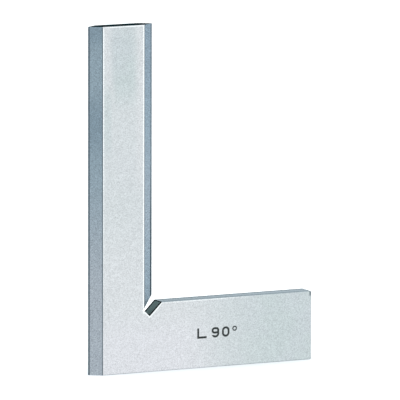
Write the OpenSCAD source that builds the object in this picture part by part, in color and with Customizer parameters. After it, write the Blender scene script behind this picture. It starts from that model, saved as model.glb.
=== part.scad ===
// Bevel-edged precision square, in millimetres.
// One hardened steel body carries the blade and the beam. A small right-angle sign and the
// figures 90 with a degree ring are sunk into the beam's front face and filled with enamel.
// The origin is the outer corner of the right angle: on the base, on the outer knife edge and
// at mid-thickness. +X runs along the beam, +Z runs up the blade, and -Y is the front.

/* [Overall] */
// Height of the blade, from the base to its top end
blade_length = 100; // [75:1:150]
// Length of the beam, from the outer knife edge to its far end
beam_length = 70; // [56:1:120]
// Thickness of the steel
thickness = 5; // [3:0.5:8]

/* [Blade] */
// Width of the blade, from knife edge to knife edge
blade_width = 20; // [14:0.5:30]
// Width of each bevel, measured across the front face
bevel_width = 3.5; // [2:0.1:5]
// Width of the flat land along each knife edge
knife_land = 0.2; // [0.1:0.05:0.6]

/* [Beam] */
// Height of the beam, from the base to its inner edge
beam_height = 20; // [12:0.5:30]
// Radius of the two corners at the beam's far end
end_corner_radius = 0.5; // [0.5:0.1:2]

/* [Relief slot] */
// Width of the diagonal slot that clears the inner corner
slot_width = 2.9; // [1.8:0.1:4]
// How far the slot's middle line passes below the inner corner
slot_drop = 0.1; // [0:0.05:0.4]
// How far the slot runs on past the lower end of the inner bevels
slot_overrun = 0.4; // [0.2:0.1:1.6]

/* [Edges] */
// Size of the small break along the sharp outer edges
edge_break = 0.15; // [0.05:0.05:0.4]

/* [Mark] */
// Height of the right-angle sign and of the figures
mark_height = 3; // [2:0.1:5]
// Width of each figure
figure_width = 2.4; // [1.6:0.1:3]
// Width of the strokes
stroke = 0.6; // [0.3:0.05:0.7]
// Outer diameter of the degree ring
degree_diameter = 1.5; // [1.1:0.1:1.9]
// Space between the right-angle sign and the first figure
sign_space = 1.6; // [0.6:0.1:3]
// Space between the figures
figure_space = 0.9; // [0.3:0.1:1.5]
// Distance from the blade's inner knife edge to the mark
mark_offset = 13.4; // [6:0.2:18]
// Depth of the sunk strokes
mark_depth = 0.12; // [0.08:0.01:0.3]
// How far the enamel stays below the face
enamel_setback = 0.02; // [0:0.01:0.05]

/* [Hidden] */
$fn = 48;

steel = [0.85, 0.87, 0.88];
dark_enamel = [0.16, 0.22, 0.21];

// Extra length that carries a cutter clear of the steel
past = 1;
half = thickness / 2;
// The beam's block starts inside the blade, where both are full thickness
beam_start = blade_width / 2;
// How far the slot's upper wall lies above the inner corner's diagonal
slot_upper = slot_width / 2 - slot_drop;
// The slot is as deep as the bevels need, because they run out into its upper wall
slot_depth = bevel_width * sqrt(2) - slot_upper + slot_overrun;
// Plane that divides blade from beam, inside the slot and just below its upper wall
divide = slot_upper - slot_overrun / 2;

// Left ends of the mark's four pieces, measured from the outer knife edge
sign_x = blade_width + mark_offset;
nine_x = sign_x + mark_height + sign_space;
zero_x = nine_x + figure_width + figure_space;
degree_x = zero_x + figure_width + figure_space;
// The mark stands at mid-height on the beam
mark_z = (beam_height - mark_height) / 2;
// The nine's two openings share the height that its three level strokes leave
nine_openings = mark_height - 3 * stroke;
// Share of that height that the upper opening, inside the bowl, takes
bowl_share = 0.55;
// How far the foot's hook rises into the lower opening, as a share of it
hook_share = 0.28;
// Share of the stroke that the degree ring's fine line takes
thin_share = 0.6;
// Corner radius of a figure as a share of its smaller side, just under a full half round
corner_share = 0.48;

// Six-sided section of the blade: two flat faces, four bevels and a land on each knife edge
blade_section = [
    [0, -knife_land / 2],
    [bevel_width, -half],
    [blade_width - bevel_width, -half],
    [blade_width, -knife_land / 2],
    [blade_width, knife_land / 2],
    [blade_width - bevel_width, half],
    [bevel_width, half],
    [0, knife_land / 2]
];

// Rectangle about its centre with its four corners broken
module broken_rectangle(width, height, size) {
    x = width / 2;
    y = height / 2;
    polygon([
        [-x + size, -y], [x - size, -y], [x, -y + size], [x, y - size],
        [x - size, y], [-x + size, y], [-x, y - size], [-x, -y + size]
    ]);
}

// Blade with its bevels and with its flat faces' end edges broken
module blade() {
    intersection() {
        linear_extrude(blade_length) polygon(blade_section);
        translate([-past, 0, blade_length / 2])
            rotate([90, 0, 90])
                linear_extrude(blade_width + 2 * past)
                    broken_rectangle(thickness, blade_length, edge_break);
    }
}

// Round corner of the beam's end, with its rim broken, about the Y axis
module beam_corner() {
    r = end_corner_radius;
    rotate([90, 0, 0])
        rotate_extrude()
            polygon([
                [0, -half], [r - edge_break, -half], [r, edge_break - half],
                [r, half - edge_break], [r - edge_break, half], [0, half]
            ]);
}

// Beam with its edges broken and its far corners rounded
module beam_block() {
    r = end_corner_radius;
    run = beam_length - r - beam_start;
    translate([beam_start, 0, beam_height / 2])
        rotate([90, 0, 90])
            linear_extrude(run) broken_rectangle(thickness, beam_height, edge_break);
    translate([beam_length - beam_height / 2, 0, r])
        linear_extrude(beam_height - 2 * r) broken_rectangle(beam_height, thickness, edge_break);
    for (z = [r, beam_height - r]) {
        translate([beam_length - r, 0, z]) beam_corner();
    }
}

// Block above the dividing plane, which clears the beam away from the inner bevels
module above_divide() {
    reach = blade_width + beam_height;
    translate([blade_width, 0, beam_height])
        rotate([0, -45, 0])
            translate([-reach, -thickness, divide])
                cube([2 * reach, 2 * thickness, reach]);
}

// Diagonal relief slot through the inner corner
module relief_slot() {
    mouth = slot_width + past;
    translate([blade_width, 0, beam_height])
        rotate([0, -45, 0])
            translate([-slot_depth, -half - past, slot_upper - slot_width])
                cube([slot_depth + mouth, thickness + 2 * past, slot_width]);
}

// Upright outline with well rounded corners, its lower left corner at the origin
module rounded_outline(width, height) {
    r = min(width, height) * corner_share;
    translate([r, 0]) square([width - 2 * r, height]);
    translate([0, r]) square([width, height - 2 * r]);
    for (x = [r, width - r], y = [r, height - r]) {
        translate([x, y]) circle(r);
    }
}

// One closed stroke round the inside of a rounded outline
module closed_stroke(width, height) {
    difference() {
        rounded_outline(width, height);
        translate([stroke, stroke]) rounded_outline(width - 2 * stroke, height - 2 * stroke);
    }
}

// Right-angle sign: two arms that meet in a square corner
module angle_sign() {
    square([mark_height, stroke]);
    square([stroke, mark_height]);
}

// Figure nine: a closed bowl, a straight back and a hooked foot
module figure_nine() {
    bowl = nine_openings * bowl_share + 2 * stroke;
    hook = nine_openings * (1 - bowl_share) * hook_share + stroke;
    back = figure_width / 2;
    translate([0, mark_height - bowl]) closed_stroke(figure_width, bowl);
    intersection() {
        closed_stroke(figure_width, mark_height);
        union() {
            translate([back, 0]) square([back, mark_height - bowl / 2]);
            square([back, hook]);
        }
    }
}

// Figure zero: one tall closed stroke
module figure_zero() {
    closed_stroke(figure_width, mark_height);
}

// Degree ring, level with the tops of the figures
module degree_ring() {
    r = degree_diameter / 2;
    translate([r, mark_height - r]) {
        difference() {
            circle(r);
            circle(r - stroke * thin_share);
        }
    }
}

// Sinks a flat outline into the front face, at distance x along the beam
module in_face(x, top, bottom) {
    translate([x, bottom - half, mark_z])
        rotate([90, 0, 0])
            linear_extrude(bottom - top) children();
}

// Body of the square, ground from one piece of steel
module square_body() {
    color(steel)
        difference() {
            union() {
                blade();
                difference() {
                    beam_block();
                    above_divide();
                }
            }
            relief_slot();
            in_face(sign_x, -past, mark_depth) angle_sign();
            in_face(nine_x, -past, mark_depth) figure_nine();
            in_face(zero_x, -past, mark_depth) figure_zero();
            in_face(degree_x, -past, mark_depth) degree_ring();
        }
}

// Enamel in the right-angle sign
module angle_sign_enamel() {
    color(dark_enamel) in_face(sign_x, enamel_setback, mark_depth) angle_sign();
}

// Enamel in the figure nine
module figure_nine_enamel() {
    color(dark_enamel) in_face(nine_x, enamel_setback, mark_depth) figure_nine();
}

// Enamel in the figure zero
module figure_zero_enamel() {
    color(dark_enamel) in_face(zero_x, enamel_setback, mark_depth) figure_zero();
}

// Enamel in the degree ring
module degree_ring_enamel() {
    color(dark_enamel) in_face(degree_x, enamel_setback, mark_depth) degree_ring();
}

square_body();
angle_sign_enamel();
figure_nine_enamel();
figure_zero_enamel();
degree_ring_enamel();
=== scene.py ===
import math

import bpy
from mathutils import Matrix, Vector


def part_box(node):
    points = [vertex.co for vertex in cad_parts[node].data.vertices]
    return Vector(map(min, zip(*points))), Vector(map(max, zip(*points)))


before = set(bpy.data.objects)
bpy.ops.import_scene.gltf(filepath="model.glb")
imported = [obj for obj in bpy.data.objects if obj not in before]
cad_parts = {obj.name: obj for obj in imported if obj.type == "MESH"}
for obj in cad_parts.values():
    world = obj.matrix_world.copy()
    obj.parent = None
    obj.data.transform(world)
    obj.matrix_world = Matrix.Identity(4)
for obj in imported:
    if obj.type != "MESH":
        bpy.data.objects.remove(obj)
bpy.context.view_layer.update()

# A bevel-edged steel square stands on a pale floor in soft studio light.
# Everything is in metres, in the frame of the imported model. Patterns and zones are in millimetres.

MM = 0.001

# Camera: a long lens, in front of the square, towards its knife edge and a little above it
CAMERA_PLACE = Vector((-929.4, -1966.9, 367.2)) * MM
CAMERA_HEADING = math.radians(26.129)
CAMERA_TILT = math.radians(8.2833)
CAMERA_ROLL = math.radians(0.12)
CAMERA_LENS_MM = 696.3
SENSOR_MM = 36.0
CAMERA_REACH = 20.0

# Floor
FLOOR_RADIUS = 6.0
FLOOR_SIDES = 96
FLOOR_LIGHT = 1.5
FLOOR_LIGHT_WIDTH = math.radians(120.0)

# Studio: an even room and three broad panels. Each panel has a compass bearing from +Y towards +X and
# a height above the horizon in degrees, the cosines from its middle where it is full and where it has
# faded out, a strength and a colour.
ROOM_STRENGTH = 0.66
ROOM_COLOUR = "#d6e6ee"
PANELS = (
    (154.0, -8.0, 0.97, 0.60, 0.62, "#fffdf9"),
    (88.0, -5.0, 0.99, 0.80, 0.10, "#bcd8ff"),
    (0.0, 90.0, 0.95, 0.45, 0.90, "#ffffff"),
)

# Surfaces, told apart by how squarely they face along one axis: least, most and softness
WIDE_FACE = (0.95, 2.0, 0.02)
BROKEN_EDGE = (0.6, 0.8, 0.02)
EDGE = (-1.0, 0.2, 0.01)
BEVEL = (-0.03, 0.03, 0.01)
BLADE_END = (0.9, 2.0, 0.01)
SLOT = (0.47, 0.53, 0.01)

# Zones on the steel in millimetres: start, end and softness of the border. FAR is clear of the body.
FAR = 200.0
NEAR_SLOT = (-6.0, 3.0, 0.1)
NEAR_TOP = (-1.0, 1.0, 0.5)

# Up the blade
UPPER_PATCH_HEIGHT = (77.0, 102.0, 7.0)
RIGHT_STRIP_HEIGHT = (55.0, FAR, 8.0)
LEFT_PATCH_HEIGHT = (62.0, 82.0, 5.0)
MIDDLE_BAND_HEIGHT = (38.0, 84.0, 12.0)
LIT_CORNER_HEIGHT = (-FAR, 14.0, 6.0)
LEFT_LINE_HEIGHT = (50.0, FAR, 50.0)
LOW_KNIFE_HEIGHT = (-FAR, 50.0, 14.0)
LIT_FOOT_HEIGHT = (-FAR, 42.0, 22.0)
LIT_WAIST_HEIGHT = (36.0, 62.0, 12.0)
SHADED_TOP_HEIGHT = (84.0, FAR, 10.0)
SHADED_BAND_HEIGHT = (65.0, 79.0, 6.0)
SHADED_TIP_HEIGHT = (95.0, FAR, 3.0)

# Along the beam
LIT_CORNER_LENGTH = (-FAR, 34.0, 8.0)
BEAM_SHADE_LENGTH = (42.0, FAR, 18.0)
PALE_END_LENGTH = (44.0, FAR, 14.0)

# From the left arris, which parts the outer bevel from the face
UPPER_PATCH_ACROSS = (2.8, 10.2, 1.5)
LEFT_PATCH_ACROSS = (-1.0, 3.0, 1.2)
LEFT_LINE = (-0.2, 0.36, 0.04)
LEFT_SHADE_LINE = (-0.22, 0.5, 0.08)

# From the right arris, which parts the face from the inner bevel
RIGHT_STRIP_ACROSS = (-2.4, 1.0, 1.0)
RIGHT_LINE = (-0.36, 0.2, 0.04)
RIGHT_SHADE_LINE = (-0.5, 0.3, 0.1)

# From the outer and the inner knife edge
OUTER_SHADE_LINE = (-1.0, 0.36, 0.1)
INNER_SHADE_LINE = (-0.6, 1.0, 0.1)
LOW_KNIFE = (-0.7, FAR, 0.15)

# From the blade's top, from the beam's top and from the beam's end
TOP_LINE = (-0.36, 0.0, 0.04)
BEAM_LINE = (-0.46, 0.0, 0.04)
TOP_BREAK = (-0.4, FAR, 0.05)
TOP_CORNER = (-1.4, FAR, 0.3)
END_BREAK = (-0.5, 1.0, 0.05)
END_CORNER = (-0.6, 1.0, 0.1)

# From the front face, from the back face and from the slot's foot
FRONT_LINE = (-1.0, 0.9, 0.15)
BACK_LINE = (-1.2, 1.0, 0.15)
FRONT_RIM = (-FAR, 0.8, 0.15)
BACK_RIM = (-0.8, FAR, 0.15)
MOUTH_RIM = (-0.2, FAR, 0.1)
FOOT_RIM = (-FAR, 0.4, 0.1)
SLOT_LINE = (0.0, 0.5, 0.06)
FOOT_LINE = (-0.5, 0.0, 0.06)

# Patterns on the steel: sizes in millimetres, and the range in which noise mostly lies
GRAIN_SIZE = 0.3
MOTTLE_SIZE = 1.4
CLOUD_SIZE = 11.0
WAVER = 5.0
NOISE_RANGE = {1: 0.25, 2: 0.75}


def linear(code):
    """A colour written as sRGB hex, as linear red, green, blue and alpha."""
    parts = [int(code[i:i + 2], 16) / 255.0 for i in (1, 3, 5)]
    return [p / 12.92 if p <= 0.04045 else ((p + 0.055) / 1.055) ** 2.4 for p in parts] + [1.0]


def add_node(tree, kind, inputs=None, **settings):
    """Adds a node, sets its properties, then sets or links its inputs."""
    node = tree.nodes.new(kind)
    for name, value in settings.items():
        setattr(node, name, value)
    for socket, value in (inputs or {}).items():
        if isinstance(value, bpy.types.NodeSocket):
            tree.links.new(value, node.inputs[socket])
        else:
            node.inputs[socket].default_value = value
    return node


def new_material(name):
    """A material with an empty node tree, and that tree."""
    material = bpy.data.materials.new(name)
    material.use_nodes = True
    material.node_tree.nodes.clear()
    return material, material.node_tree


def shape_facts():
    """Places on the steel body in millimetres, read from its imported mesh."""
    low, high = [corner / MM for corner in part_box("square_body")]
    points = [v.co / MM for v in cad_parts["square_body"].data.vertices]
    near = 0.02
    upper_blade = 0.6 * high.z
    beam_end = 2.0
    upper_front = [p.x for p in points if p.y < low.y + near and p.z > upper_blade]
    outer_edge = [p.y for p in points if p.x < low.x + near]
    inner_edge = max(p.x for p in points if p.z > high.z - near)
    beam_top = max(p.z for p in points if p.x > high.x - beam_end)
    left_arris, right_arris = min(upper_front), max(upper_front)
    in_slot = [p for p in points
               if right_arris < p.x < inner_edge + 1.0 and beam_top / 2.0 < p.z < beam_top]
    return {"low": low,
            "high": high,
            "left_arris": left_arris,
            "right_arris": right_arris,
            "inner_edge": inner_edge,
            "beam_top": beam_top,
            "slot_foot": min(in_slot, key=lambda p: p.z),
            "knife_land": max(outer_edge) - min(outer_edge)}


def add_camera():
    """The camera, aimed by heading, tilt and roll."""
    ahead = Vector((math.sin(CAMERA_HEADING) * math.cos(CAMERA_TILT),
                    math.cos(CAMERA_HEADING) * math.cos(CAMERA_TILT),
                    -math.sin(CAMERA_TILT)))
    right = Vector((math.cos(CAMERA_HEADING), -math.sin(CAMERA_HEADING), 0.0))
    roll = Matrix.Rotation(-CAMERA_ROLL, 3, ahead)
    up = roll @ right.cross(ahead)
    right = roll @ right
    data = bpy.data.cameras.new("camera")
    data.lens = CAMERA_LENS_MM
    data.sensor_width = SENSOR_MM
    data.clip_end = CAMERA_REACH
    camera = bpy.data.objects.new("camera", data)
    axes = Matrix((right, up, -ahead)).transposed()
    camera.matrix_world = Matrix.Translation(CAMERA_PLACE) @ axes.to_4x4()
    bpy.context.scene.collection.objects.link(camera)
    bpy.context.scene.camera = camera


def band(tree, value, zone, base=0.0):
    """A mask that is 1 where the value lies in the zone, whose ends are measured from the base."""
    start, end, soft = zone
    start, end = base + start, base + end
    rise = add_node(tree, "ShaderNodeMapRange",
                    {"Value": value, 1: start - soft, 2: start + soft},
                    interpolation_type="SMOOTHSTEP")
    fall = add_node(tree, "ShaderNodeMapRange",
                    {"Value": value, 1: end - soft, 2: end + soft, 3: 1.0, 4: 0.0},
                    interpolation_type="SMOOTHSTEP")
    return all_of(tree, rise.outputs[0], fall.outputs[0])


def all_of(tree, *masks):
    """The mask where all these masks meet."""
    result = masks[0]
    for mask in masks[1:]:
        result = add_node(tree, "ShaderNodeMath", {0: result, 1: mask}, operation="MULTIPLY").outputs[0]
    return result


def any_of(tree, *masks):
    """The mask that covers any of these masks."""
    result = masks[0]
    for mask in masks[1:]:
        result = add_node(tree, "ShaderNodeMath", {0: result, 1: mask}, operation="MAXIMUM").outputs[0]
    return result


def body_masks(tree, place, shape):
    """Masks for the surfaces of the body, from how they face and where they are."""
    coords = add_node(tree, "ShaderNodeTexCoord")
    facing = add_node(tree, "ShaderNodeVectorMath", {0: coords.outputs["Normal"]}, operation="ABSOLUTE")
    side = add_node(tree, "ShaderNodeSeparateXYZ", {0: facing.outputs[0]}).outputs
    where = add_node(tree, "ShaderNodeSeparateXYZ", {0: place}).outputs
    across, depth, height = where["X"], where["Y"], where["Z"]

    # How far a bevel leans towards the knife edge, and how far the slot's walls face both ways at once
    width = shape["left_arris"] - shape["low"].x
    rise = (shape["high"].y - shape["low"].y - shape["knife_land"]) / 2.0
    lean = rise / math.hypot(rise, width)
    diagonal = add_node(tree, "ShaderNodeMath", {0: side["X"], 1: side["Z"]},
                        operation="MULTIPLY").outputs[0]
    near_slot = all_of(tree, band(tree, height, NEAR_SLOT, shape["beam_top"]),
                       band(tree, across, NEAR_SLOT, shape["inner_edge"]))
    slot_across = add_node(tree, "ShaderNodeMath", {0: across, 1: height},
                           operation="SUBTRACT").outputs[0]
    slot_along = add_node(tree, "ShaderNodeMath", {0: across, 1: height}, operation="ADD").outputs[0]
    return {"across": across,
            "depth": depth,
            "height": height,
            "slot_across": slot_across,
            "slot_along": slot_along,
            "wide_face": band(tree, side["Y"], WIDE_FACE),
            "bevel": band(tree, side["X"], BEVEL, lean),
            "edge": band(tree, side["Y"], EDGE),
            "broken_edge": band(tree, side["Y"], BROKEN_EDGE),
            "blade_end": all_of(tree, band(tree, side["Z"], BLADE_END),
                                band(tree, height, NEAR_TOP, shape["high"].z)),
            "slot": all_of(tree, band(tree, diagonal, SLOT), near_slot)}


def face_darkening(tree, masks, shape, cloud):
    """Where the wide faces are darker, from 0 to 1, with cloudy borders: painted shade towards the beam's
    end, and darker patches and a darker band up the blade.
    """
    left, right = shape["left_arris"], shape["right_arris"]
    across, height = masks["across"], masks["height"]
    waver = add_node(tree, "ShaderNodeMath", {0: cloud, 1: WAVER, 2: -WAVER / 2.0},
                     operation="MULTIPLY_ADD").outputs[0]
    loose_across = add_node(tree, "ShaderNodeMath", {0: waver, 1: 0.5, 2: across},
                            operation="MULTIPLY_ADD").outputs[0]
    loose_height = add_node(tree, "ShaderNodeMath", {0: height, 1: waver}, operation="ADD").outputs[0]
    front = band(tree, masks["depth"], (-FAR, 0.0, 0.1))

    # Painted shade: the beam is darker towards its end.
    painted_beam_shade = band(tree, loose_across, BEAM_SHADE_LENGTH)
    # Darker patches up the blade, near the left arris.
    upper_dark_patch = all_of(tree, front, band(tree, loose_across, UPPER_PATCH_ACROSS, left),
                    band(tree, loose_height, UPPER_PATCH_HEIGHT))
    # The strip along the right arris above the middle is left out of the darker band.
    wiped = all_of(tree, front, band(tree, across, RIGHT_STRIP_ACROSS, right),
                   band(tree, loose_height, RIGHT_STRIP_HEIGHT))
    left_dark_patch = all_of(tree, front, band(tree, across, LEFT_PATCH_ACROSS, left),
                   band(tree, loose_height, LEFT_PATCH_HEIGHT))
    middle_share, left_patch_share = 0.32, 0.75
    thin = add_node(tree, "ShaderNodeMapRange",
                    {"Value": band(tree, height, MIDDLE_BAND_HEIGHT), 4: middle_share}).outputs[0]
    middle_darkening = add_node(tree, "ShaderNodeMix", {0: wiped, 2: thin, 3: 0.0}).outputs[0]
    left_patch_darkening = add_node(tree, "ShaderNodeMath", {0: left_dark_patch, 1: left_patch_share},
                          operation="MULTIPLY").outputs[0]
    return any_of(tree, painted_beam_shade, upper_dark_patch, middle_darkening, left_patch_darkening)


def edge_highlights(tree, masks, shape):
    """Painted highlights: where fine white lines lie on the wide faces, along the sharp corners."""
    left, right, top = shape["left_arris"], shape["right_arris"], shape["high"].z
    beam_top, foot = shape["beam_top"], shape["slot_foot"]
    across, height = masks["across"], masks["height"]
    right_line = all_of(tree, band(tree, across, RIGHT_LINE, right),
                        band(tree, height, (beam_top - 3.0, top, 0.5)))
    left_line = all_of(tree, band(tree, across, LEFT_LINE, left), band(tree, height, LEFT_LINE_HEIGHT))
    top_line = all_of(tree, band(tree, height, TOP_LINE, top),
                      band(tree, across, (left + 1.5, right, 1.5)))
    beam_line = all_of(tree, band(tree, height, BEAM_LINE, beam_top),
                       band(tree, across, (shape["inner_edge"] + 2.0, 46.0, 10.0)))
    beam_line_share = 0.6
    beam_line = add_node(tree, "ShaderNodeMath", {0: beam_line, 1: beam_line_share},
                         operation="MULTIPLY").outputs[0]

    # The lines along the slot's lower wall and across its foot, which lie at 45 degrees
    wall = foot.x - foot.z
    slot_line = all_of(tree, band(tree, masks["slot_across"], SLOT_LINE, wall),
                       band(tree, height, (foot.z - 0.4, beam_top - 0.2, 0.1)))
    foot_line = all_of(tree, band(tree, masks["slot_along"], FOOT_LINE, foot.x + foot.z),
                       band(tree, masks["slot_across"], (-2.0, wall + 0.4, 0.1)))
    return all_of(tree, masks["wide_face"],
                  any_of(tree, right_line, left_line, top_line, beam_line, slot_line, foot_line))


def bevel_border_shade(tree, masks, shape):
    """Painted shade: thin dark lines along the borders of the bevels."""
    across = masks["across"]
    lines = any_of(tree, band(tree, across, OUTER_SHADE_LINE, shape["low"].x),
                   band(tree, across, LEFT_SHADE_LINE, shape["left_arris"]),
                   band(tree, across, RIGHT_SHADE_LINE, shape["right_arris"]),
                   band(tree, across, INNER_SHADE_LINE, shape["inner_edge"]))
    return all_of(tree, masks["bevel"], lines)


def slot_rim(tree, masks, shape):
    """Painted shade: the dark rim of the slot's walls, along both faces, at the mouth and at the foot."""
    depth, height = masks["depth"], masks["height"]
    rim = any_of(tree, band(tree, depth, FRONT_RIM, shape["low"].y),
                 band(tree, depth, BACK_RIM, shape["high"].y),
                 band(tree, height, MOUTH_RIM, shape["beam_top"]),
                 band(tree, height, FOOT_RIM, shape["slot_foot"].z))
    return all_of(tree, masks["slot"], rim)


def edge_colours(tree, masks, shape):
    """Colours of the beam's upper edge and end, each with the mask that it fills: painted shade, darker
    than the wide faces, darker in lines along their borders and lighter towards the beam's end.
    """
    low, high, beam_top = shape["low"], shape["high"], shape["beam_top"]
    across, depth, height = masks["across"], masks["depth"], masks["height"]
    edge, broken_edge = masks["edge"], masks["broken_edge"]
    on_beam = band(tree, across, (shape["inner_edge"], high.x + 1.0, 0.5))
    return ((edge, "#c4cbcf"),
            (all_of(tree, edge, band(tree, across, PALE_END_LENGTH)), "#d4dade"),
            (all_of(tree, edge, on_beam, band(tree, depth, BACK_LINE, high.y)), "#7c868b"),
            (all_of(tree, edge, on_beam, band(tree, depth, FRONT_LINE, low.y)), "#9aa4a9"),
            (all_of(tree, broken_edge, on_beam, band(tree, height, TOP_BREAK, beam_top)), "#9aa4a9"),
            (all_of(tree, broken_edge, band(tree, across, END_BREAK, high.x)), "#7a8488"))


def bevel_colours(tree, masks, outer_bevel, inner_bevel):
    """Colours of the bevels, each with the mask that it fills: a bluer, darker colour that is partly
    painted shade, and painted lighter and darker bands up the blade.
    """
    height = masks["height"]
    shaded_height = any_of(tree, band(tree, height, SHADED_BAND_HEIGHT), band(tree, height, SHADED_TIP_HEIGHT))
    return ((masks["bevel"], "#cbd7df"),
            (all_of(tree, outer_bevel, band(tree, height, LIT_FOOT_HEIGHT)), "#ebeaef"),
            (all_of(tree, inner_bevel, band(tree, height, LIT_WAIST_HEIGHT)), "#d6dde3"),
            (all_of(tree, inner_bevel, band(tree, height, SHADED_TOP_HEIGHT)), "#c3cfd8"),
            (all_of(tree, outer_bevel, shaded_height), "#bac8d2"))


def ground_steel(shape):
    """Hardened stainless steel, surface ground and lapped.

    The wide faces are a pale even satin, with painted light and shade along the beam and darker patches
    up the blade. The bevels are ground closer and coloured bluer and darker, partly as painted shade.
    The blade's end and the relief slot are painted dark as shade, sharp corners carry painted highlights,
    and painted shade lines follow the bevels' borders.
    """
    material, tree = new_material("ground_stainless_steel")
    coords = add_node(tree, "ShaderNodeTexCoord")
    place = add_node(tree, "ShaderNodeVectorMath", {0: coords.outputs["Object"], "Scale": 1.0 / MM},
                     operation="SCALE").outputs[0]
    masks = body_masks(tree, place, shape)
    across, height = masks["across"], masks["height"]

    # Grinding grain, drawn coarser than the real one so that it shows, and clouds left by lapping
    # and wiping by hand
    grain = add_node(tree, "ShaderNodeTexNoise",
                     {"Vector": place, "Scale": 1.0 / GRAIN_SIZE, "Detail": 2.0, "Roughness": 0.7})
    grain = grain.outputs["Fac"]
    mottle = add_node(tree, "ShaderNodeTexNoise",
                      {"Vector": place, "Scale": 1.0 / MOTTLE_SIZE, "Detail": 2.0, "Roughness": 0.6})
    mottle = mottle.outputs["Fac"]
    cloud = add_node(tree, "ShaderNodeTexNoise",
                     {"Vector": place, "Scale": 1.0 / CLOUD_SIZE, "Detail": 3.0, "Roughness": 0.55})
    cloud = cloud.outputs["Fac"]

    blade_middle = (shape["left_arris"] + shape["right_arris"]) / 2.0
    outer_bevel = all_of(tree, masks["bevel"], band(tree, across, (-FAR, blade_middle, 0.1)))
    inner_bevel = all_of(tree, masks["bevel"], band(tree, across, (blade_middle, FAR, 0.1)))
    # Painted shade: the lower part of the bevel along the inner knife edge is darker.
    low_knife_shade = all_of(tree, masks["bevel"], band(tree, across, LOW_KNIFE, shape["inner_edge"]),
                       band(tree, height, LOW_KNIFE_HEIGHT))
    # Painted light: the lower left of the wide faces, along the first part of the beam, is lighter.
    painted_light_corner = all_of(tree, masks["wide_face"], band(tree, height, LIT_CORNER_HEIGHT),
                          band(tree, across, LIT_CORNER_LENGTH))
    # Painted shade: the top of the beam's end corner is darker.
    end_corner = all_of(tree, band(tree, across, END_CORNER, shape["high"].x),
                        band(tree, height, TOP_CORNER, shape["beam_top"]),
                        any_of(tree, masks["wide_face"], masks["broken_edge"], masks["edge"]))
    darker_face = face_darkening(tree, masks, shape, cloud)
    highlight_lines = edge_highlights(tree, masks, shape)
    rim = slot_rim(tree, masks, shape)

    # Colours of the steel, each laid over the ones before
    # The wide faces darken in the masked places: painted shade towards the beam's end, darker patches and
    # a band up the blade.
    darkening_tint = add_node(tree, "ShaderNodeMapRange", {"Value": cloud, 1: 0.4, 2: 0.6}).outputs[0]
    darkening_colour = add_node(tree, "ShaderNodeMix",
                           {0: darkening_tint, 6: linear("#cdd3d3"), 7: linear("#ced2d4")},
                           data_type="RGBA").outputs[2]
    colour = add_node(tree, "ShaderNodeMix", {0: darker_face, 6: linear("#e0dfe0"), 7: darkening_colour},
                      data_type="RGBA").outputs[2]
    # painted light: the lower left of the wide faces lighter
    layers = ((painted_light_corner, "#e4e1e4"),
              # painted shade and light on the narrow faces
              *edge_colours(tree, masks, shape),
              # bevel colours, partly painted shade, with painted lighter and darker bands
              *bevel_colours(tree, masks, outer_bevel, inner_bevel),
              # painted shade: dark lines along the bevels' borders
              (bevel_border_shade(tree, masks, shape), "#858f97"),
              # painted shade: the lower inner knife edge darker
              (low_knife_shade, "#46525a"),
              # painted highlight: white lines along the sharp corners
              (highlight_lines, "#ffffff"),
              # painted shade: the slot's walls, a recess, darker than the faces
              (masks["slot"], "#70827f"),
              # painted shade: darker still along the slot's rim
              (rim, "#0e1616"),
              # painted shade: the top of the beam's end corner darker
              (end_corner, "#6c777c"),
              # painted shade: the blade's end painted dark
              (masks["blade_end"], "#224247"))
    for mask, code in layers:
        colour = add_node(tree, "ShaderNodeMix", {0: mask, 6: colour, 7: linear(code)},
                          data_type="RGBA").outputs[2]

    # Lighter and darker grains, strongest on the bevels, over faint clouds
    grain_contrast, mottle_contrast = 0.26, 0.03
    bevel_strength, inner_bevel_strength = 1.5, 2.4
    strength = add_node(tree, "ShaderNodeMapRange",
                        {"Value": masks["bevel"], 3: 1.0, 4: bevel_strength}).outputs[0]
    strength = add_node(tree, "ShaderNodeMix",
                        {0: inner_bevel, 2: strength, 3: inner_bevel_strength}).outputs[0]
    spread = add_node(tree, "ShaderNodeMapRange",
                      {"Value": grain, **NOISE_RANGE, 3: -grain_contrast, 4: grain_contrast}).outputs[0]
    fine_tone = add_node(tree, "ShaderNodeMath", {0: spread, 1: strength, 2: 1.0},
                         operation="MULTIPLY_ADD").outputs[0]
    broad_tone = add_node(tree, "ShaderNodeMapRange",
                          {"Value": mottle, **NOISE_RANGE,
                           3: 1.0 - mottle_contrast, 4: 1.0 + mottle_contrast}).outputs[0]
    tone = all_of(tree, fine_tone, broad_tone)
    toned = add_node(tree, "ShaderNodeVectorMath", {0: colour, "Scale": tone},
                     operation="SCALE").outputs[0]

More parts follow.
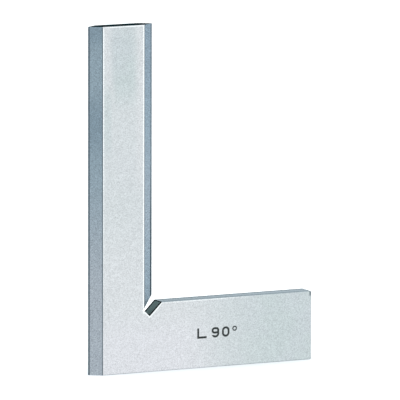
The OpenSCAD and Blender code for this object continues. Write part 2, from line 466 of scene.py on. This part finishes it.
    # Roughness follows the grain. The blade end and the slot rim, painted dark as shade, also get a dark
    # edge tint, which keeps their reflections dark even at a low angle: painted shade as well.
    roughness = add_node(tree, "ShaderNodeMapRange",
                         {"Value": grain, **NOISE_RANGE, 3: 0.37, 4: 0.43}).outputs[0]
    for mask, amount in ((darker_face, 0.38), (highlight_lines, 0.18), (masks["slot"], 0.5), (masks["blade_end"], 0.5)):
        roughness = add_node(tree, "ShaderNodeMix", {0: mask, 2: roughness, 3: amount}).outputs[0]
    painted_dark_shade = any_of(tree, masks["blade_end"], rim)
    edge_tint = add_node(tree, "ShaderNodeMix",
                         {0: painted_dark_shade, 6: linear("#ffffff"), 7: linear("#10282c")},
                         data_type="RGBA").outputs[2]
    bump = add_node(tree, "ShaderNodeBump", {"Height": grain, "Strength": 0.15, "Distance": 0.01 * MM})
    shader = add_node(tree, "ShaderNodeBsdfPrincipled",
                      {"Base Color": toned, "Metallic": 1.0, "Roughness": roughness,
                       "Specular Tint": edge_tint, "Normal": bump.outputs[0]})
    add_node(tree, "ShaderNodeOutputMaterial", {"Surface": shader.outputs[0]})
    return material


def mark_enamel():
    """Dark enamel wiped into the sunk strokes and left slightly dull, with a few paler specks."""
    speck_size = 0.25 * MM
    material, tree = new_material("mark_enamel")
    coords = add_node(tree, "ShaderNodeTexCoord")
    specks = add_node(tree, "ShaderNodeTexNoise",
                      {"Vector": coords.outputs["Object"], "Scale": 1.0 / speck_size, "Detail": 1.0})
    specks = specks.outputs["Fac"]
    colour = add_node(tree, "ShaderNodeMix", {0: specks, 6: linear("#0e1413"), 7: linear("#242d2b")},
                      data_type="RGBA").outputs[2]
    roughness = add_node(tree, "ShaderNodeMapRange", {"Value": specks, 3: 0.38, 4: 0.55}).outputs[0]
    shader = add_node(tree, "ShaderNodeBsdfPrincipled", {"Base Color": colour, "Roughness": roughness})
    add_node(tree, "ShaderNodeOutputMaterial", {"Surface": shader.outputs[0]})
    return material


def add_floor():
    """A wide plain floor, kept out of the steel's reflections, which show the studio instead."""
    mesh = bpy.data.meshes.new("floor")
    turn = 2.0 * math.pi / FLOOR_SIDES
    rim = [(FLOOR_RADIUS * math.cos(i * turn), FLOOR_RADIUS * math.sin(i * turn), 0.0)
           for i in range(FLOOR_SIDES)]
    mesh.from_pydata(rim, [], [tuple(range(FLOOR_SIDES))])
    material, tree = new_material("floor_paper")
    shader = add_node(tree, "ShaderNodeBsdfDiffuse", {"Color": linear("#fafafa")})
    add_node(tree, "ShaderNodeOutputMaterial", {"Surface": shader.outputs[0]})
    mesh.materials.append(material)
    floor = bpy.data.objects.new("floor", mesh)
    floor.visible_glossy = False
    bpy.context.scene.collection.objects.link(floor)


def toward(bearing, height):
    """The unit vector of a compass bearing and a height above the horizon, both in degrees."""
    turn, lift = math.radians(bearing), math.radians(height)
    return (math.sin(turn) * math.cos(lift), math.cos(turn) * math.cos(lift), math.sin(lift))


def add_studio():
    """The studio all around: a cool grey room, broad soft panels and a bright ceiling."""
    world = bpy.data.worlds.new("studio")
    world.use_nodes = True
    bpy.context.scene.world = world
    tree = world.node_tree
    tree.nodes.clear()
    sight = add_node(tree, "ShaderNodeTexCoord").outputs["Generated"]
    room = add_node(tree, "ShaderNodeBackground",
                    {"Color": linear(ROOM_COLOUR), "Strength": ROOM_STRENGTH})
    total = room.outputs[0]
    for bearing, height, full, faded, strength, code in PANELS:
        near = add_node(tree, "ShaderNodeVectorMath", {0: sight, 1: toward(bearing, height)},
                        operation="DOT_PRODUCT")
        glow = add_node(tree, "ShaderNodeMapRange",
                        {"Value": near.outputs["Value"], 1: faded, 2: full, 3: 0.0, 4: strength},
                        interpolation_type="SMOOTHSTEP")
        panel = add_node(tree, "ShaderNodeBackground",
                         {"Color": linear(code), "Strength": glow.outputs[0]})
        total = add_node(tree, "ShaderNodeAddShader", {0: total, 1: panel.outputs[0]}).outputs[0]
    add_node(tree, "ShaderNodeOutputWorld", {"Surface": total})


def add_floor_light():
    """A soft light from above that whitens the floor and doesn't show in the steel."""
    data = bpy.data.lights.new("floor_light", "SUN")
    data.energy = FLOOR_LIGHT
    data.angle = FLOOR_LIGHT_WIDTH
    light = bpy.data.objects.new("floor_light", data)
    light.visible_glossy = False
    bpy.context.scene.collection.objects.link(light)


bpy.context.scene.view_settings.view_transform = "Standard"
shape = shape_facts()
steel = ground_steel(shape)
enamel = mark_enamel()
for name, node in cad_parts.items():
    for slot in node.material_slots:
        slot.material = steel if name == "square_body" else enamel
add_camera()
add_floor()
add_studio()
add_floor_light()
